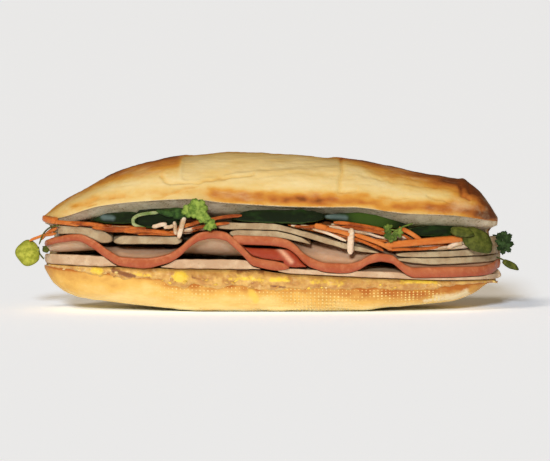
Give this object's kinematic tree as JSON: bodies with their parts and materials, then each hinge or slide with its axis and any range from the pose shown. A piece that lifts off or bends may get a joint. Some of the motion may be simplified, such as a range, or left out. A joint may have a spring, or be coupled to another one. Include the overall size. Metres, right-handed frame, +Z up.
{
  "type": "banh mi sandwich",
  "caption": "Crusty roll slit along its front and hinged at the back, filled with pale pork roll, rimmed ham, pickled shreds, cucumber, coriander and an egg and pate spread.",
  "frame": {"origin": "centre of the flat resting spot under the roll", "axes": "+X along the roll, -Y out of the open front, +Z up"},
  "size_m": [0.2424, 0.081, 0.0771],
  "materials": {
    "bread_crust": "baked crust, matte",
    "spread": "soft and moist",
    "pork_roll": "moist, fine grained",
    "ham": "moist",
    "pickles": "wet",
    "cucumber": "wet skin",
    "coriander": "fresh leaf"
  },
  "bodies": {
    "root": {"bread_roll": "bread_crust", "egg_and_pate_spread": "spread", "pork_roll_lower_left": "pork_roll", "pork_roll_lower_middle": "pork_roll", "pork_roll_lower_right": "pork_roll", "ham_left": "ham", "ham_right": "ham", "ham_fold": "ham", "pork_roll_upper_left": "pork_roll", "pork_roll_upper_second": "pork_roll", "pork_roll_upper_under": "pork_roll", "pork_roll_upper_long": "pork_roll", "pork_roll_upper_right": "pork_roll", "pork_roll_upper_end": "pork_roll", "pickle_heap_left": "pickles", "pickle_heap_right": "pickles", "cucumber_left": "cucumber", "cucumber_curl": "cucumber", "cucumber_centre": "cucumber", "cucumber_middle": "cucumber", "cucumber_right": "cucumber", "coriander_left": "coriander", "coriander_centre": "coriander", "coriander_dark_leaf": "coriander", "coriander_middle": "coriander", "coriander_olive": "coriander", "coriander_right": "coriander", "coriander_tip": "coriander"}
  },
  "joints": []
}
